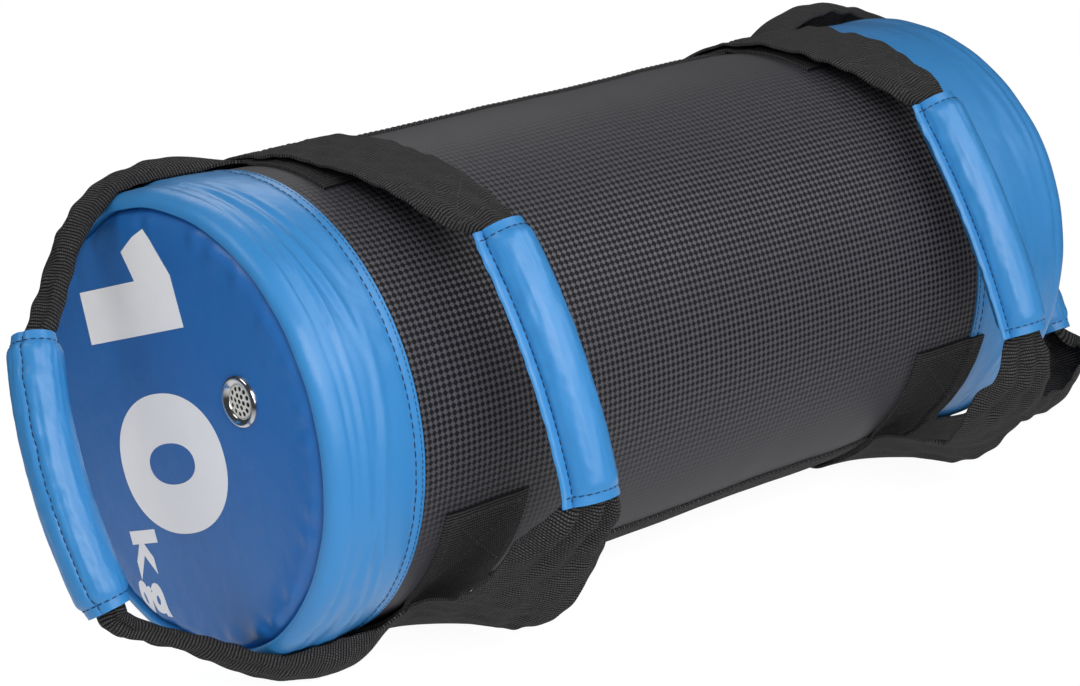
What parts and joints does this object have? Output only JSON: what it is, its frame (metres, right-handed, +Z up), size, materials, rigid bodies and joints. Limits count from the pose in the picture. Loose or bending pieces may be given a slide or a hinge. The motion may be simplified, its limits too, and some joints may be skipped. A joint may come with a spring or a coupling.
{
  "type": "sandbag trainer",
  "caption": "Cylindrical padded sandbag for lifting and carrying, with a vinyl skin, webbing straps, an air vent, and swinging webbing handles with padded grips at its ends and front.",
  "frame": {"origin": "middle of the flattened underside, where the bag lies on the floor, halfway between its ends", "axes": "+X along the bag's axis from the vented cap to the other cap, +Z up; the two front handles lie on the -Y side"},
  "size_m": [0.6643, 0.2868, 0.2279],
  "materials": {
    "blue_vinyl": "satin coated vinyl fabric, blue",
    "black_vinyl": "embossed coated vinyl fabric, black, soft sheen",
    "black_webbing": "ribbed woven webbing, black, dull",
    "chrome": "polished plated metal",
    "foam": "closed-cell foam, inside the skin",
    "sack_cloth": "plain woven inner sack",
    "tie_cord": "twisted cord",
    "sand": "dry sand"
  },
  "bodies": {
    "bag": {"body_sleeve": "black_vinyl", "near_end_band": "blue_vinyl", "far_end_band": "blue_vinyl", "near_end_panel": "blue_vinyl", "far_end_panel": "blue_vinyl", "near_foam_disc": "foam", "far_foam_disc": "foam", "foam_wrap": "foam", "sand_sack": "sack_cloth", "sack_tie": "tie_cord", "sand_fill": "sand", "vent_flange": "chrome", "vent_screen": "chrome", "vent_washer": "chrome", "top_long_strap": "black_webbing", "bottom_long_strap": "black_webbing", "near_hoop_strap": "black_webbing", "far_hoop_strap": "black_webbing", "near_side_upper_tail": "black_webbing", "near_side_lower_tail": "black_webbing", "far_side_upper_tail": "black_webbing", "far_side_lower_tail": "black_webbing"},
    "near_end_handle": {"near_end_webbing": "black_webbing", "near_end_grip_cover": "blue_vinyl", "near_end_grip_foam": "foam"},
    "far_end_handle": {"far_end_webbing": "black_webbing", "far_end_grip_cover": "blue_vinyl", "far_end_grip_foam": "foam"},
    "near_side_handle": {"near_side_webbing": "black_webbing", "near_side_grip_cover": "blue_vinyl", "near_side_grip_foam": "foam"},
    "far_side_handle": {"far_side_webbing": "black_webbing", "far_side_grip_cover": "blue_vinyl", "far_side_grip_foam": "foam"}
  },
  "joints": [
    {"name": "near_end_swing", "type": "hinge", "parent": "bag", "child": "near_end_handle", "pos_m": [-0.205, 0, 0.1082], "axis": [0, 0.5, 0.866], "range_deg": [-20, 20]},
    {"name": "far_end_swing", "type": "hinge", "parent": "bag", "child": "far_end_handle", "pos_m": [0.205, 0, 0.1082], "axis": [0, 0.5, 0.866], "range_deg": [-20, 20]},
    {"name": "near_side_swing", "type": "hinge", "parent": "bag", "child": "near_side_handle", "pos_m": [-0.159, 0, 0.1082], "axis": [0, 0.5, 0.866], "range_deg": [-12, 12]},
    {"name": "far_side_swing", "type": "hinge", "parent": "bag", "child": "far_side_handle", "pos_m": [0.159, 0, 0.1082], "axis": [0, 0.5, 0.866], "range_deg": [-12, 12]}
  ]
}
